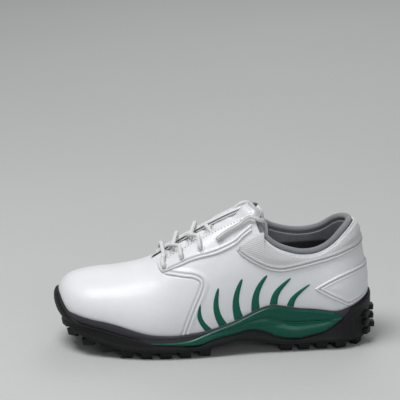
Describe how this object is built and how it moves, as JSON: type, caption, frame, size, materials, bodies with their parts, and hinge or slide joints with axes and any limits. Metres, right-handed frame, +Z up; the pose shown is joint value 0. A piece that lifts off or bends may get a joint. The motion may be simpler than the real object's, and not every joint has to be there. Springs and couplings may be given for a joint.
{
  "type": "golf shoe",
  "caption": "Low-cut lace-up golf shoe for the left foot, with padded collar and tongue, cupped sole, plate under the arch and screw-in cleats.",
  "frame": {"origin": "on the ground, under the middle of the shoe's length and width", "axes": "-X towards the toe, +X towards the heel, +Y towards the inner side of the foot, +Z up"},
  "size_m": [0.2878, 0.1046, 0.126],
  "materials": {
    "black_rubber": "textured, semi-matte",
    "grey_midsole": "semi-gloss",
    "green_gloss": "glossy, pearl",
    "grey_plastic": "matte",
    "cleat_plastic": "matte",
    "clear_gel": "clear gel",
    "fibre_board": "pressed fibre board",
    "black_fabric": "knit fabric",
    "white_leather": "smooth full grain",
    "pearl_leather": "smooth, slight pearl sheen",
    "white_mesh": "fine dotted texture",
    "stiffener": "matte sheet",
    "white_lining": "smooth lining",
    "grey_fabric": "knit",
    "silver_fabric": "smooth",
    "foam": "foam",
    "white_plastic": "satin",
    "clear_plastic": "clear film",
    "white_cord": "woven cord",
    "grey_label": "woven label"
  },
  "bodies": {
    "shoe": {"outsole": "black_rubber", "cleat_receptacles": "grey_plastic", "arch_plate": "green_gloss", "midsole": "grey_midsole", "heel_gel_pad": "clear_gel", "forefoot_gel_pad": "clear_gel", "insole_board": "fibre_board", "sockliner": "black_fabric", "vamp": "white_leather", "toe_puff": "stiffener", "vamp_lining": "white_lining", "quarter_outer_side": "white_leather", "quarter_inner_side": "white_leather", "quarter_lining_outer_side": "white_lining", "quarter_lining_inner_side": "white_lining", "heel_counter": "stiffener", "heel_overlay": "pearl_leather", "collar_panel": "white_mesh", "collar_padding": "foam", "collar_lining": "grey_fabric", "collar_binding": "silver_fabric", "eyestay_outer_side": "pearl_leather", "eyestay_inner_side": "pearl_leather", "side_flash_outer_side": "green_gloss", "side_flash_inner_side": "green_gloss", "eyelets": "white_plastic", "lace": "white_cord", "aglets": "clear_plastic"},
    "tongue": {"tongue_cover": "white_leather", "tongue_padding": "foam", "tongue_lining": "grey_fabric", "tongue_label": "grey_label"},
    "cleat_toe_outer": {"cleat_toe_outer": "cleat_plastic"},
    "cleat_toe_inner": {"cleat_toe_inner": "cleat_plastic"},
    "cleat_ball_outer": {"cleat_ball_outer": "cleat_plastic"},
    "cleat_ball_inner": {"cleat_ball_inner": "cleat_plastic"},
    "cleat_heel_outer": {"cleat_heel_outer": "cleat_plastic"},
    "cleat_heel_inner": {"cleat_heel_inner": "cleat_plastic"},
    "cleat_heel_back": {"cleat_heel_back": "cleat_plastic"}
  },
  "joints": [
    {"name": "tongue_tilt", "type": "hinge", "parent": "shoe", "child": "tongue", "pos_m": [-0.0568, 0, 0.0695], "axis": [0, 1, 0], "range_deg": [0, 6]},
    {"name": "cleat_toe_outer_twist", "type": "hinge", "parent": "shoe", "child": "cleat_toe_outer", "pos_m": [-0.0838, -0.0193, 0.008], "axis": [0, 0, 1], "range_deg": [-60, 0]},
    {"name": "cleat_toe_inner_twist", "type": "hinge", "parent": "shoe", "child": "cleat_toe_inner", "pos_m": [-0.0878, 0.0267, 0.008], "axis": [0, 0, 1], "range_deg": [-60, 0]},
    {"name": "cleat_ball_outer_twist", "type": "hinge", "parent": "shoe", "child": "cleat_ball_outer", "pos_m": [-0.0418, -0.0243, 0.008], "axis": [0, 0, 1], "range_deg": [-60, 0]},
    {"name": "cleat_ball_inner_twist", "type": "hinge", "parent": "shoe", "child": "cleat_ball_inner", "pos_m": [-0.0458, 0.0277, 0.008], "axis": [0, 0, 1], "range_deg": [-60, 0]},
    {"name": "cleat_heel_outer_twist", "type": "hinge", "parent": "shoe", "child": "cleat_heel_outer", "pos_m": [0.0862, -0.0153, 0.008], "axis": [0, 0, 1], "range_deg": [-60, 0]},
    {"name": "cleat_heel_inner_twist", "type": "hinge", "parent": "shoe", "child": "cleat_heel_inner", "pos_m": [0.0862, 0.0147, 0.008], "axis": [0, 0, 1], "range_deg": [-60, 0]},
    {"name": "cleat_heel_back_twist", "type": "hinge", "parent": "shoe", "child": "cleat_heel_back", "pos_m": [0.1122, -0.0003, 0.008], "axis": [0, 0, 1], "range_deg": [-60, 0]}
  ]
}
